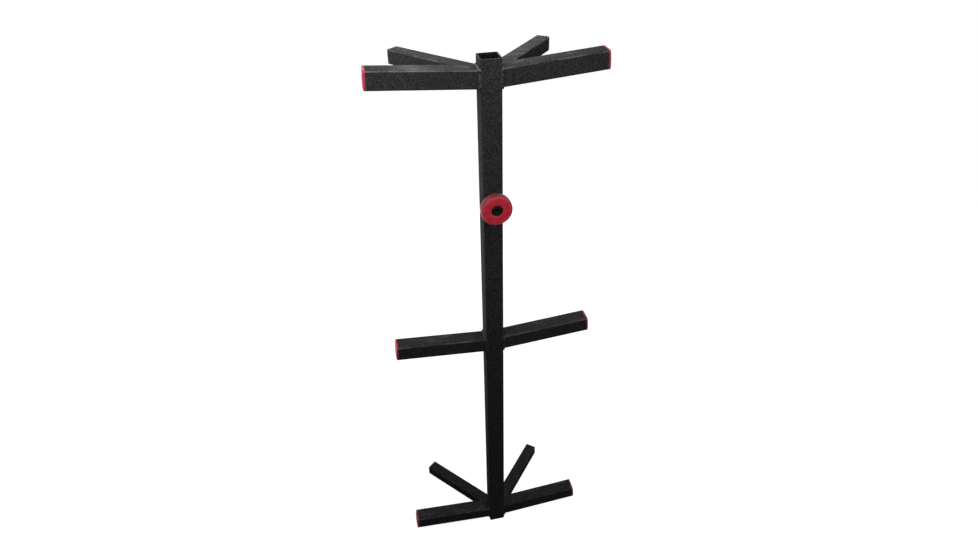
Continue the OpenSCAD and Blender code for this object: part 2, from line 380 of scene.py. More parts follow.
def trodden_tops(coat, up):
    """1 in the scuffs on faces that look up."""
    scuffs = coat.noise(16 * MM, detail=5, rough=0.7, scale=(0.45, 1.6, 1))
    return up.between(0.8, 0.97) * scuffs.between(0.52, 0.74)


def painted_corner_highlight(coat, up):
    """How strong the painted highlight on the upper corners is: faint all along, and more in
    patches.
    """
    corner = (up * (1 - up) * 4).between(0.45, 0.85)
    patches = coat.noise(22 * MM, detail=3).between(0.42, 0.62)
    return corner * (0.10 + patches * 0.42)


# The upper corners carry a painted highlight, not wear.
print("Wear: edges, tops and upper corners")

# %% [markdown]
# Down inside the post hardly any light gets in, so the coat there is painted
# nearly black as painted shade, by a mask on the distance from the post's
# middle planes that ends within the thickness of its wall. The coat is matt:
# a high roughness and a low index of refraction keep the pale surroundings
# out of it.

# %% Powder coat
HOLLOW_ENDS, HOLLOW_STARTS = 11.4 * MM, 10.9 * MM


def hollow_shade_mask(coat):
    """1 inside the post's bore, where the painted shade goes, 0 outside the post."""
    point = coat.point()
    from_x, from_y = (abs(coat.part(point, axis)) for axis in "XY")
    return from_x.between(HOLLOW_ENDS, HOLLOW_STARTS) * from_y.between(HOLLOW_ENDS, HOLLOW_STARTS)


def powder_coat():
    coat = Finish("powder_coat", "powder_coat")
    grain = coat.noise(COAT_GRAIN, detail=4, rough=0.65, twist=0.8)
    fine = coat.noise(0.6 * MM, detail=2)
    up = coat.part(coat.normal(), "Z")
    worn = worn_edges(coat)
    trodden = trodden_tops(coat, up)
    tone = sprayed(coat, grain)
    tone = coat.mix(worn.between(0.05, 0.9) * 0.5, tone, colour(112, 115, 115))
    tone = coat.mix(trodden * 0.35, tone, colour(112, 115, 115))
    # Painted highlight: a pale band along the upper corners.
    tone = coat.mix(painted_corner_highlight(coat, up), tone, colour(118, 121, 121))
    # Painted shade: the inside of the post nearly black.
    tone = coat.mix(hollow_shade_mask(coat), tone, colour(4, 4, 4))
    return coat.surface(
        base_color=tone,
        roughness=0.82 - trodden * 0.12 - worn.between(0, 1) * 0.08,
        ior=1.05,
        normal=coat.bump(grain * 0.8 + fine * 0.2, COAT_DEPTH))


POWDER_COAT = powder_coat()

# %% [markdown]
# ## Moulded red plastic
#
# The caps and the button are moulded in a tough red plastic. Its colour goes
# all the way through, so it wears pale rather than bare, and its skin is a
# fine matt. One function mixes the red from three tones and rubs its edges
# pale. The caps take a pinker red than the thick button. Their red is also
# set darker, and the button's paler, as painted light that evens out how
# strongly each is lit.

# %% Red plastic and the caps
def red_plastic(name, body, bright, dark):
    """A red finish, its colour so far, and the two noises that made it."""
    red = Finish(name, name)
    cloud = red.noise(6 * MM, detail=3)
    speck = red.noise(0.5 * MM, detail=2)
    rubbed = red.edges(0.9 * MM) * red.noise(2.5 * MM, detail=4).between(0.3, 0.62)
    tone = red.mix(cloud.between(0.35, 0.70), body, dark)
    tone = red.mix(speck.between(0.55, 0.80) * 0.35, tone, bright)
    tone = red.mix(rubbed.between(0.02, 0.7) * 0.5, tone, bright)
    return red, tone, cloud, speck


def cap_plastic():
    # The cap red is set darker than the button's, as painted light against the strong light on
    # the caps.
    red, tone, cloud, speck = red_plastic(
        "cap_plastic", colour(172, 43, 70), colour(206, 98, 120), colour(154, 34, 58))
    return red.surface(
        base_color=tone,
        roughness=0.55 + cloud * 0.12,
        ior=1.4,
        normal=red.bump(speck, 0.05 * MM))


CAP_PLASTIC = cap_plastic()

# %% [markdown]
# The button's face stays red. Near the edge of the face is a faint pale
# ring, in patches, that is partly rubbed by webbing hooked over the button
# and partly a painted highlight. Where the edge begins to turn it is painted
# pale all round, as a painted highlight, and past that the rim is painted
# dark all round, as painted shade. The ring depends on the distance from the
# bolt. The other two depend on how far the surface has turned away from the
# front.

# %% The button's plastic
def button_plastic():
    # The button red is set paler than the caps', as painted light to make up for the weaker light
    # on the button.
    red, tone, cloud, speck = red_plastic(
        "button_plastic", colour(208, 45, 63), colour(226, 110, 124), colour(186, 36, 53))
    low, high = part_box("strap_button")
    from_bolt = red.from_line((low + high) / 2)
    ring = from_bolt.between(16.4 * MM, 17.4 * MM) * (1 - from_bolt.between(18.2 * MM, 18.9 * MM))
    patches = red.noise(4 * MM, detail=4).between(0.35, 0.6)
    turned = 1 - abs(red.part(red.normal(), "Y"))
    painted_edge_highlight = turned.between(0.01, 0.10) * (1 - turned.between(0.12, 0.30))
    # Pale ring near the face's edge: part rub wear from the webbing, part painted highlight.
    tone = red.mix(ring * patches * 0.35, tone, colour(204, 96, 110))
    # Painted highlight: the edge pale all round where it begins to turn.
    tone = red.mix(painted_edge_highlight * 0.55, tone, colour(186, 92, 104))
    # Painted shade: the rim dark all round where it turns away from the front.
    tone = red.mix(turned.between(0.10, 0.40) * 0.9, tone, colour(96, 42, 48))
    return red.surface(
        base_color=tone,
        roughness=0.5 + cloud * 0.12,
        ior=1.3,
        normal=red.bump(speck, 0.06 * MM))


BUTTON_PLASTIC = button_plastic()

# %% [markdown]
# ## Small metal and nylon
#
# The bolt is black oxide, a thin dark skin that lets the steel through on
# its edges.

# %% Black oxide
def black_oxide():
    steel = Finish("black_steel", "black_steel")
    cloud = steel.noise(2.5 * MM, detail=4)
    bare = steel.edges(0.5 * MM) * steel.noise(1.2 * MM, detail=3).between(0.3, 0.6)
    tone = steel.mix(cloud.between(0.3, 0.75), colour(12, 12, 13), colour(26, 26, 28))
    tone = steel.mix(bare.between(0.05, 0.8) * 0.6, tone, colour(120, 122, 126))
    return steel.surface(
        base_color=tone,
        metallic=bare.between(0, 1) * 0.4,
        roughness=0.42 + cloud * 0.2,
        ior=1.15,
        normal=steel.bump(steel.noise(0.4 * MM, detail=2), 0.03 * MM))


BLACK_STEEL = black_oxide()

# %% [markdown]
# The washers, the nut and the sleeve are zinc plated: grey, a little cloudy,
# with faint turning marks. The ring that locks the nut is plain nylon.

# %% Zinc plate and nylon
def zinc_plate():
    zinc = Finish("zinc_plate", "zinc_plate")
    cloud = zinc.noise(3 * MM, detail=4)
    turning_marks = zinc.noise(0.6 * MM, detail=3, scale=(1, 0.15, 1))
    return zinc.surface(
        base_color=zinc.mix(
            cloud.between(0.3, 0.7), colour(176, 180, 184), colour(140, 144, 150)),
        metallic=1.0,
        roughness=0.34 + cloud * 0.22,
        normal=zinc.bump(turning_marks, 0.03 * MM))


def plain_nylon():
    nylon = Finish("nylon", "nylon")
    cloud = nylon.noise(1.5 * MM, detail=3)
    return nylon.surface(
        base_color=nylon.mix(
            cloud.between(0.3, 0.7), colour(226, 224, 212), colour(206, 203, 190)),
        roughness=0.45,
        normal=nylon.bump(cloud, 0.04 * MM))


ZINC_PLATE = zinc_plate()
NYLON = plain_nylon()

# %% [markdown]
# ## Finishes on the tubes
#
# A tube's solid is already right, down to the radius of its corners, so it
# keeps its mesh and only takes the coat. The same goes for the sleeve, the
# nut and its ring.

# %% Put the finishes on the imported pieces
def dress(node, finish):
    """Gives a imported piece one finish."""
    slots = nodes[node].data.materials
    slots.clear()
    slots.append(finish.material)


tubes = ["post_tube"]
tubes += [f"step_{level}_{side}" for level in LEVELS for side in SIDES]
tubes += [f"standoff_{level}_{side}" for level in VEE_LEVELS for side in SIDES]
for tube in tubes:
    dress(tube, POWDER_COAT)
dress("button_sleeve", ZINC_PLATE)
dress("lock_nut", ZINC_PLATE)
dress("nut_ring", NYLON)
print("Tubes with powder coat:", len(tubes))

# %% [markdown]
# ## From rings of points to a closed mesh
#
# Caps, beads, washers and bolts all have a section that changes along a
# line, so they can be built as a stack of rings, each joined to the next by
# a band of quads. A run of rings is closed with a single point at each end,
# or joined end to end like a hoop, so the mesh holds water either way.

# %% Bands and fans
def band(mesh, near, far):
    """Quads from one ring to the next."""
    for i in range(len(near)):
        j = (i + 1) % len(near)
        mesh.faces.new((near[i], near[j], far[j], far[i]))


def fan(mesh, ring, point):
    """Triangles from a ring to one point."""
    centre = mesh.verts.new(point)
    for i in range(len(ring)):
        mesh.faces.new((ring[i], ring[(i + 1) % len(ring)], centre))


print("Rings join by bands and close with fans")

# %% [markdown]
# `skin` does the whole job and hands the mesh over as a piece: it has a
# finish, it rides on the body that carries it, and it stands in for the
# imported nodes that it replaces. Faces that meet at less than 40 degrees are
# shaded as one smooth surface, and sharper edges stay crisp.

# %% Rings to a piece
SMOOTH_BELOW = math.radians(40)


def skin(name, rings, finish, replaced, body="stick", ends=None):
    """A closed mesh through rings of points: a hoop, or shut with two end points."""
    mesh = bmesh.new()
    rows = [[mesh.verts.new(p) for p in ring] for ring in rings]
    for near, far in zip(rows, rows[1:]):
        band(mesh, near, far)
    if ends is None:
        band(mesh, rows[-1], rows[0])
    else:
        fan(mesh, rows[0], ends[0])
        fan(mesh, rows[-1], ends[1])
    bmesh.ops.recalc_face_normals(mesh, faces=mesh.faces)
    data = bpy.data.meshes.new(name)
    mesh.to_mesh(data)
    mesh.free()
    for face in data.polygons:
        face.use_smooth = True
    data.set_sharp_from_angle(angle=SMOOTH_BELOW)
    data.materials.append(finish.material)
    piece = bpy.data.objects.new(name, data)
    bpy.context.scene.collection.objects.link(piece)
    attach(piece, body)
    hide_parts(*replaced)
    return piece


print("A piece is made with skin(name, rings, finish, replaced)")

# %% [markdown]
# ## End caps
#
# Each step ends in a push-in plastic plug. Outside the tube is a square head
# with softened edges and a slightly domed face that keeps the mark of the
# gate where the plastic came in. Inside is a hollow shank, with fins that
# bite on the tube's wall. Every section of it is a square with rounded
# corners, so the cap is one stack of rings: up the inside of the shank, over
# its open end, along the fins, under the head, round its edge and in over
# the dome.

# %% Rounded square rings
PER_CORNER = 6
PER_SIDE = 6


def rounded_square(half, corner):
    """Points round a square with rounded corners, flat, about the origin."""
    inner = half - corner
    bends = (math.radians(90 * i / PER_CORNER) for i in range(PER_CORNER + 1))
    quarter = [(inner + corner * math.cos(a), inner + corner * math.sin(a)) for a in bends]
    quarter += [(inner - 2 * inner * i / PER_SIDE, half) for i in range(1, PER_SIDE)]
    points = []
    for k in range(4):
        turn = math.radians(90 * k)
        cos, sin = math.cos(turn), math.sin(turn)
        points += [(x * cos - y * sin, x * sin + y * cos) for x, y in quarter]
    return points


print("Points in a ring:", len(rounded_square(11 * MM, 2 * MM)))

# %% [markdown]
# The sizes of a plug follow its tube: the shank clears the wall, and the
# fins reach almost to it. Where two rings would lie in the same place, such
# as on the square back of a fin, they are set a hair apart.

# %% Sizes of a cap
RIM, CAP_RISE, CAP_EDGE, CAP_CORNER = 2.0 * MM, 0.8 * MM, 0.6 * MM, 2.0 * MM
SHANK, SHANK_HALF = 15 * MM, 8.45 * MM
BORE_HALF, BORE_CORNER = 7.15 * MM, 0.5 * MM
FINS, FIN, FIN_HALF, FIN_CORNER = 3, 1.2 * MM, 9.55 * MM, 1.0 * MM
FIN_BEVEL, FIN_TAPER = 0.3 * MM, 0.5 * MM
RIM_BEVEL = 0.15 * MM
GATE, GATE_DEPTH = 1.7 * MM, 0.16 * MM
HAIR = 0.01 * MM
print(f"Shank {SHANK / MM:.0f} mm long with {FINS} fins, rim {RIM / MM:.0f} mm thick")

# %% [markdown]
# Inside the tube each ring is flat, at one distance out from the tube's end.
# A minus sign means further in.

# %% Shank and fins
def flat_ring(out, half, corner):
    return [(out, y, z) for y, z in rounded_square(half, corner)]


def fin_rings(start, pitch):
    """One fin and the bare shank up to the next: tapered in front, square behind."""
    end = start + FIN
    return [flat_ring(start, FIN_HALF - FIN_BEVEL, FIN_CORNER),
            flat_ring(start + FIN_TAPER, FIN_HALF, FIN_CORNER),
            flat_ring(end, FIN_HALF, FIN_CORNER),
            flat_ring(end + HAIR, SHANK_HALF, FIN_CORNER),
            flat_ring(start + pitch - HAIR, SHANK_HALF, FIN_CORNER)]


def shank_rings():
    """The bore, the open end, the fins, and the underside of the head."""
    rings = [flat_ring(-HAIR, BORE_HALF, BORE_CORNER), flat_ring(-SHANK, BORE_HALF, BORE_CORNER)]
    pitch = (SHANK - FIN) / FINS
    for i in range(FINS):
        rings += fin_rings(-SHANK + i * pitch, pitch)
    return rings + [flat_ring(0, FIN_HALF, FIN_CORNER),
                    flat_ring(0, step_half - RIM_BEVEL, CAP_CORNER - RIM_BEVEL),
                    flat_ring(RIM_BEVEL, step_half, CAP_CORNER)]


print("Rings from bore to head:", len(shank_rings()))

# %% [markdown]
# The head's face is part of a large sphere, with the shallow round mark of
# the gate in its middle. Its edge turns over in a quarter circle. From there
# the rings shrink towards the middle and turn, as they shrink, from rounded
# squares into circles, because the gate's mark is round. They lie closest
# together at the rim of that mark, where the surface bends most.

# %% The domed head
REACH = (step_half - CAP_CORNER) * math.sqrt(2) + CAP_CORNER
SPHERE = (REACH ** 2 + CAP_RISE ** 2) / (2 * CAP_RISE)
EDGE_STEPS = 6
SHARES = (0.86, 0.70, 0.54, 0.40, 0.28, 0.19, 0.165, 0.14, 0.10, 0.05)
ROUNDS_BY = 1.25


def dome(y, z):
    """How far out the face is at a point."""
    out = RIM + CAP_RISE - HAIR / 2 - SPHERE + math.sqrt(SPHERE ** 2 - y * y - z * z)
    return out - GATE_DEPTH * (1 - min(1, math.hypot(y, z) / GATE) ** 4)


def domed_ring(points, drop=0):
    return [(dome(y, z) - drop, y, z) for y, z in points]


def shrunk(outline, share):
    """The outline at a share of its size, the rounder the smaller it is."""
    roundness = min(1, (1 - share) * ROUNDS_BY)
    points = []
    for y, z in outline:
        to_circle = (step_half - CAP_EDGE) / math.hypot(y, z)
        size = share * (1 - roundness + roundness * to_circle)
        points.append((y * size, z * size))
    return points


def head_rings():
    """The head's edge, rounded over, and its face."""
    rings = [domed_ring(rounded_square(step_half, CAP_CORNER), CAP_EDGE)]
    for i in range(1, EDGE_STEPS + 1):
        turn = math.radians(90 * i / EDGE_STEPS)
        inset, drop = CAP_EDGE * (1 - math.cos(turn)), CAP_EDGE * (1 - math.sin(turn))
        rings.append(domed_ring(rounded_square(step_half - inset, CAP_CORNER - inset), drop))
    outline = rounded_square(step_half - CAP_EDGE, CAP_CORNER - CAP_EDGE)
    return rings + [domed_ring(shrunk(outline, share)) for share in SHARES]


print(f"The face rises {CAP_RISE / MM:.1f} mm on a sphere {SPHERE / MM:.0f} mm in radius")

# %% [markdown]
# One set of rings serves all six caps. Each is set on the end of its step,
# along the line that the step's own flat end gives.

# %% Build the six caps
def build_cap(level, side):
    seat, axis = flat_face(f"step_{level}_{side}", (SIDES[side], 0, ROUGH_TILT))
    rise = Vector((-axis.z * SIDES[side], 0, axis.x * SIDES[side]))

    def at(point):
        out, y, up_by = point
        return seat + axis * out + Vector((0, y, 0)) + rise * up_by

    rings = [[at(p) for p in ring] for ring in shank_rings() + head_rings()]
    ends = (at((-HAIR, 0, 0)), at((dome(0, 0), 0, 0)))
    return skin(f"cap_{level}_{side}", rings, CAP_PLASTIC, [f"end_cap_{level}_{side}"], ends=ends)


caps = [build_cap(level, side) for level in LEVELS for side in SIDES]
print("Caps:", len(caps), "with", len(caps[0].data.polygons), "faces each")

# %% [markdown]
# ## Weld beads
#
# A hand-run bead is a row of small overlapping pools, each frozen as a
# crescent that curves towards the way the torch went. It could be painted as
# a bump, but its outline against the tube is wavy too, so it is modelled: a
# round bar follows the joint, half sunk in the tubes, and its radius rises
# and falls with each pool. The pools differ a little in size, from a seeded
# random row, so every run of this file gives the same welds.
#
# The joint is given by a few corner points. First its bends are rounded, and
# then it is cut into even steps, several to a pool.

# %% The line that a bead follows
POOL = 2.1 * MM
STATIONS_PER_POOL = 6
BEND_STEPS = 6


def rounded_path(points, radius, closed):
    """The same run of points with its bends rounded, as closely spaced points."""
    count = len(points)
    line = []
    for i, point in enumerate(points):
        if not closed and i in (0, count - 1):
            line.append(point)
            continue
        before, after = points[i - 1], points[(i + 1) % count]
        start = point + (before - point).normalized() * radius
        end = point + (after - point).normalized() * radius
        for k in range(BEND_STEPS + 1):
            t = k / BEND_STEPS
            line.append(start.lerp(point, t).lerp(point.lerp(end, t), t))
    if closed:
        line.append(line[0])
    return line


def spaced(line, gap):
    """Points at an even spacing along a line, with the distance of each, and its whole length."""
    lengths = [0]
    for a, b in zip(line, line[1:]):
        lengths.append(lengths[-1] + (b - a).length)
    total = lengths[-1]
    count = max(4, round(total / gap))
    stations, piece = [], 0
    for i in range(count + 1):
        wanted = total * i / count
        while piece < len(lengths) - 2 and lengths[piece + 1] < wanted:
            piece += 1
        share = (wanted - lengths[piece]) / (lengths[piece + 1] - lengths[piece])
        stations.append((line[piece].lerp(line[piece + 1], share), wanted))
    return stations, total


print(f"A bead has a pool every {POOL / MM:.1f} mm, in {STATIONS_PER_POOL} steps")

# %% [markdown]
# The ripples are heights on the bar. A point's place in the row of pools
# depends on how far along the bead it is, less a little for how far round it
# is from the top, and that lag bends each pool into a crescent. Inside a
# pool the height rises and falls in a flat-topped hump.

# %% Ripples
POOL_HEIGHT = 0.34 * MM
CRESCENT = 0.55
SMALLEST_POOL, LARGEST_POOL, MOST_LEAN = 0.75, 1.2, 0.12
SLOW_SWELL, QUICK_SWELL = 0.035, 0.025
FLAT_TOPPED = 2.4


class Ripples:
    """The row of pools on one bead, drawn from a seed."""

    def __init__(self, seed, total):
        draw = random.Random(seed)
        self.total = total
        self.pools = max(2, round(total / POOL))
        drawn = range(self.pools + 3)
        self.size = [draw.uniform(SMALLEST_POOL, LARGEST_POOL) for _ in drawn]
        self.lean = [draw.uniform(-MOST_LEAN, MOST_LEAN) for _ in drawn]
        self.sway = [draw.uniform(0, 2 * math.pi) for _ in range(2)]

    def swell(self, along):
        """How thick the bead is here, as the hand moved faster or slower."""
        waves = 2 * math.pi * along / self.total
        slow, quick = math.sin(3 * waves + self.sway[0]), math.sin(7 * waves + self.sway[1])
        return 1 + SLOW_SWELL * slow + QUICK_SWELL * quick

    def height(self, along, turned):
        """The height of the pool here, at a turn of 0 on top to 2 underneath."""
        phase = along / self.total * self.pools - CRESCENT * turned
        pool = math.floor(phase) % self.pools
        share = phase - math.floor(phase) + self.lean[pool]
        share = min(1, max(0, share))
        return POOL_HEIGHT * self.size[pool] * (1 - abs(2 * share - 1) ** FLAT_TOPPED)


print(f"Pools rise up to {POOL_HEIGHT / MM:.2f} mm")

# %% [markdown]
# An open bead starts and ends in a rounded toe, where its radius shrinks as
# on a ball. A closed one runs round the tube and meets itself.

# %% A rippled bead
BEND_SHARE = 0.7
BLUNT = 0.02


def toe(along, total, radius):
    """How far the radius has grown from an open bead's end: 1 away from the ends."""
    left_over = min(along, total - along)
    if left_over >= radius:
        return 1
    return math.sqrt(max(BLUNT, 1 - (1 - left_over / radius) ** 2))


def bead(name, points, normal, radius, outward, seed, replaced, closed=False, around=20):
    """A bead along a flat run of points. normal is square to the run's plane."""
    line = rounded_path([Vector(p) for p in points], radius * BEND_SHARE, closed)
    stations, total = spaced(line, POOL / STATIONS_PER_POOL)
    if closed:
        stations = stations[:-1]
    ripples = Ripples(seed, total)
    count = len(stations)
    rings = []
    for k, (centre, along) in enumerate(stations):
        here = stations[k - 1][0] if closed or k else centre
        there = stations[(k + 1) % count][0] if closed or k < count - 1 else centre
        side = (there - here).normalized().cross(normal)
        top_of_bead = (normal * outward[0] + side * outward[1]).normalized()
        taper = 1 if closed else toe(along, total, radius)
        ring = []
        for i in range(around):
            angle = 2 * math.pi * i / around
            look = normal * math.cos(angle) + side * math.sin(angle)
            height = ripples.height(along, 1 - look.dot(top_of_bead))
            reach = radius * ripples.swell(along) * taper + (height - POOL_HEIGHT) * taper
            ring.append(centre + look * reach)
        rings.append(ring)
    ends = None if closed else (stations[0][0], stations[-1][0])
    return skin(name, rings, POWDER_COAT, replaced, ends=ends)


print("A bead is made with bead(name, points, normal, radius, outward, seed, replaced)")

# %% [markdown]
# The bead round a step's root runs along the four edges where the step meets
# the post's side. Where a stand-off takes the rear edge, the bead stops
# short of it and starts again on its other side, so it is an open run there
# and a closed hoop on the middle pair. Every bead has a seed of its own.

# %% Beads round the steps
STEP_BEAD = 2.15 * MM


def pair_seed(first, level, side):
    """A seed for one weld of a pair."""
    return first + LEVELS.index(level) * 2 + (side == "left")


def step_bead(level, side):
    root, _ = flat_face(f"step_{level}_{side}", (-SIDES[side], 0, 0))
    half = step_half / math.sqrt(1 - step_axis.z ** 2)
    x, y, low, high = root.x, step_half, root.z - half, root.z + half
    closed = level == "middle"
    if closed:
        points = [(x, -y, low), (x, y, low), (x, y, high), (x, -y, high)]
    else:
        vee_bottom, vee_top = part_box(f"standoff_{level}_{side}")
        points = [(x, y, vee_bottom.z), (x, y, low), (x, -y, low),
                  (x, -y, high), (x, y, high), (x, y, vee_top.z)]
    return bead(
        f"bead_step_{level}_{side}", points, Vector((SIDES[side], 0, 0)), STEP_BEAD, (1, 1),
        pair_seed(0, level, side), [f"weld_step_{level}_{side}"], closed)


step_beads = [step_bead(level, side) for level in LEVELS for side in SIDES]
print("Beads round steps:", len(step_beads), "with", len(step_beads[0].data.polygons), "faces")

# %% [markdown]
# A stand-off is welded on its outer side, from its top over to its bottom.
# In the bottom of the vee, where both meet the post, one short bead runs up
# between them, one lies over them and one under. These three pieces stand
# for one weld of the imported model.

# %% Beads on the stand-offs
STANDOFF_BEAD = 2.55 * MM
VEE_AROUND = 16
BACKWARDS = Vector((0, 1, 0))


def standoff_bead(level, side):
    low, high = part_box(f"weld_standoff_{level}_{side}")
    under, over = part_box(f"standoff_{level}_{side}")
    sign = SIDES[side]
    furthest = max(abs(low.x), abs(high.x))
    inner, outer = sign * (furthest - (high.x - low.x)), sign * (furthest - STANDOFF_BEAD)
    points = [(inner, step_half, over.z), (outer, step_half, over.z),
              (outer, step_half, under.z), (inner, step_half, under.z)]
    return bead(
        f"bead_standoff_{level}_{side}", points, BACKWARDS, STANDOFF_BEAD, (1, -sign),
        pair_seed(20, level, side), [f"weld_standoff_{level}_{side}"], around=VEE_AROUND)


def vee_beads(level):
    """One bead up the bottom of the vee, and one over and one under the stand-offs."""
    low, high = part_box(f"weld_vee_{level}")
    under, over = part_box(f"standoff_{level}_right")
    runs = {
        "over": [(low.x, post_half, over.z), (high.x, post_half, over.z)],
        "under": [(low.x, post_half, under.z), (high.x, post_half, under.z)],
        "upright": [(0, post_half, under.z), (0, post_half, over.z)],
    }
    first_seed = 40 + 3 * LEVELS.index(level)
    return [
        bead(f"bead_vee_{level}_{word}", points, BACKWARDS, STANDOFF_BEAD, (1, 0),
             first_seed + k, [f"weld_vee_{level}"], around=VEE_AROUND)
        for k, (word, points) in enumerate(runs.items())]


vee_welds = [standoff_bead(level, side) for level in VEE_LEVELS for side in SIDES]
for level in VEE_LEVELS:
    vee_welds += vee_beads(level)
print("Beads on stand-offs:", len(vee_welds))

# %% [markdown]
# ## Turned pieces
#
# The button, the washers and the bolt are round about one line that runs
# straight back through the post, so each is a profile spun about it. A
# profile here is a list of (radius, distance in front of the post's face)
# pairs in millimetres. A radius may also depend on the angle, which is how a
# spun ring becomes a knurl, a thread or a hexagon.

# %% Spin a profile
button_low, button_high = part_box("strap_button")
CENTRE = Vector((0, -post_half, (button_low.z + button_high.z) / 2))


def spun(profile, around):
    """Rings for skin, from (radius, distance in front) pairs in millimetres."""
    rings = []
    for radius, distance in profile:
        ring = []
        for i in range(around):
            angle = 2 * math.pi * i / around
            r = (radius(angle, distance) if callable(radius) else radius) * MM
            d = (distance(angle) if callable(distance) else distance) * MM
            ring.append(CENTRE + Vector((r * math.cos(angle), -d, r * math.sin(angle))))
        rings.append(ring)
    return rings


print("Centre of the button:", [round(c / MM, 1) for c in CENTRE])

# %% [markdown]
# Two measures are wanted of each turned piece's box: its radius, and how far
# in front of the post's face it starts and ends. An arc rounds a corner of a
# profile.

# %% Measures and arcs of a profile
def in_front(y):
    """How far in front of the post's face a Y is, in millimetres."""
    return (-y - post_half) / MM


def radius_of(low, high):
    """The radius of what fills a box, in millimetres."""
    return (high.x - low.x) / 2 / MM


def arc(centre_r, centre_d, radius, start, end, steps=6):
    """Points of an arc in a profile, angles in degrees from straight outwards."""
    turns = [math.radians(start + (end - start) * i / steps) for i in range(steps + 1)]
    return [(centre_r + radius * math.cos(t), centre_d + radius * math.sin(t)) for t in turns]


print("Radius of the button:", round(radius_of(button_low, button_high), 2), "mm")

# %% [markdown]
# The button is a spool: a broad flange in front, and behind it a neck that
# the strap's loop sits on. Its edges are rounded so that they don't fray the
# webbing. A deep round recess hides the bolt's head, with a small chamfer at
# its mouth. Round the flange runs the faint line where the two halves of the
# mould met.

# %% Sizes of the button
BACK, FRONT = in_front(button_high.y), in_front(button_low.y)
FLANGE_R, NECK_R, RECESS_R, BORE_R = radius_of(button_low, button_high), 10, 7, 5.31
FLANGE_BACK, SHOULDER = FRONT - 11.3, FRONT - 9
FILLET, EDGE = 2.5, 2.4
BORE_CHAMFER, NECK_CHAMFER, SHOULDER_CHAMFER = 0.3, 0.4, 0.5
MOULD_LINE, LINE_FOOT, LINE_TOP = 0.06, 0.25, 0.05
# Each step of the recess's mouth: how much wider than the recess, and how deep.
MOUTH = ((0.7, 0), (0.55, 0.06), (0.05, 0.55), (0, 0.7))
SKIRT_R = FLANGE_R - MOULD_LINE
LINE_AT = (FLANGE_BACK + FRONT) / 2
FACE_RING = 3.2
print(f"Button {2 * FLANGE_R:.0f} mm across, {BACK:.1f} to {FRONT:.1f} mm in front of the post")

# %% [markdown]
# The profile runs from the bore at the back over the neck and the flange to
# the front face, and down into the recess. Joined end to end it is a hoop,
# so the bore stays open.

# %% The strap button
neck = [(BORE_R, BACK + BORE_CHAMFER), (BORE_R + BORE_CHAMFER, BACK),
        (NECK_R - NECK_CHAMFER, BACK), (NECK_R, BACK + NECK_CHAMFER)]
neck += arc(NECK_R + FILLET, FLANGE_BACK - FILLET, FILLET, 180, 90)
flange = arc(SKIRT_R - EDGE, FLANGE_BACK + EDGE, EDGE, -90, 0)
flange += [(SKIRT_R, LINE_AT - LINE_FOOT), (FLANGE_R, LINE_AT - LINE_TOP),
           (FLANGE_R, LINE_AT + LINE_TOP), (SKIRT_R, LINE_AT + LINE_FOOT)]
flange += arc(SKIRT_R - EDGE, FRONT - EDGE, EDGE, 0, 90)
flange += [(RECESS_R + FACE_RING, FRONT)]
recess = [(RECESS_R + wider, FRONT - deep) for wider, deep in MOUTH]
recess += [(RECESS_R, SHOULDER + SHOULDER_CHAMFER), (RECESS_R - SHOULDER_CHAMFER, SHOULDER),
           (BORE_R, SHOULDER)]
AROUND = 96
button = skin("button_spool", spun(neck + flange + recess, AROUND), BUTTON_PLASTIC,
              ["strap_button"], body="button")
print("Button with", len(button.data.polygons), "faces")

# %% [markdown]
# The bolt is a socket head screw. Its head has a knurled rim, a chamfered
# top and a six-sided socket, whose mouth is a cone that cuts the hexagon's
# corners. The shank is plain as far as the post and threaded behind it,
# where the nut goes.

# %% Sizes of the bolt
bolt_low, bolt_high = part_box("button_bolt")
HEAD_TOP, BOLT_END = in_front(bolt_low.y), in_front(bolt_high.y)
HEAD_R, HEAD_H, SHANK_R = radius_of(bolt_low, bolt_high), 8, 4
HEAD_LOW = HEAD_TOP - HEAD_H
KEY_HALF, KEY_DEPTH, KEY_DRAFT, DRILL_TIP = 3, 4, 0.02, 1.4
MOUTH_R = KEY_HALF / math.cos(math.radians(30)) + 0.15
CONE_SLOPE = 0.577
KNURL_DEPTH, BELOW_TOP, ABOVE_FOOT = 0.14, 1.1, 0.6
FOOT_CHAMFER = 0.3
# Each step over the head's top edge: how far in from its rim, and how deep.
HEAD_EDGE = ((0.95, 0), (0.75, 0.06), (0.1, 0.8))
print(f"Bolt {HEAD_TOP - BOLT_END:.1f} mm long with its head")

# %% [markdown]
# The head is spun like the rest, but three of its rings aren't round: the
# knurl steps in at every other point, and the socket's two are hexagons.

# %% Knurl and socket
def knurl(angle, _):
    """Every other point of the rim is cut in."""
    return HEAD_R - KNURL_DEPTH * (round(angle / (2 * math.pi) * AROUND) % 2)


def hexagon(half):
    def radius(angle, _):
        return half / math.cos((angle % math.radians(60)) - math.radians(30))
    return radius


def cone(angle):
    """Where the socket's side meets the cone at its mouth."""
    return HEAD_TOP - CONE_SLOPE * (MOUTH_R - hexagon(KEY_HALF)(angle, 0))


head = [(hexagon(KEY_HALF - KEY_DRAFT), HEAD_TOP - KEY_DEPTH), (hexagon(KEY_HALF), cone),
        (MOUTH_R, HEAD_TOP), (MOUTH_R + 0.4, HEAD_TOP)]
head += [(HEAD_R - inset, HEAD_TOP - deep) for inset, deep in HEAD_EDGE]
head += [(knurl, HEAD_TOP - BELOW_TOP), (knurl, HEAD_LOW + ABOVE_FOOT),
         (HEAD_R - FOOT_CHAMFER, HEAD_LOW)]
print("Rings in the head:", len(head))

# %% [markdown]
# The thread is a real spiral: the radius at a point depends on its distance
# along the bolt less its share of a turn. It fades out at both ends.

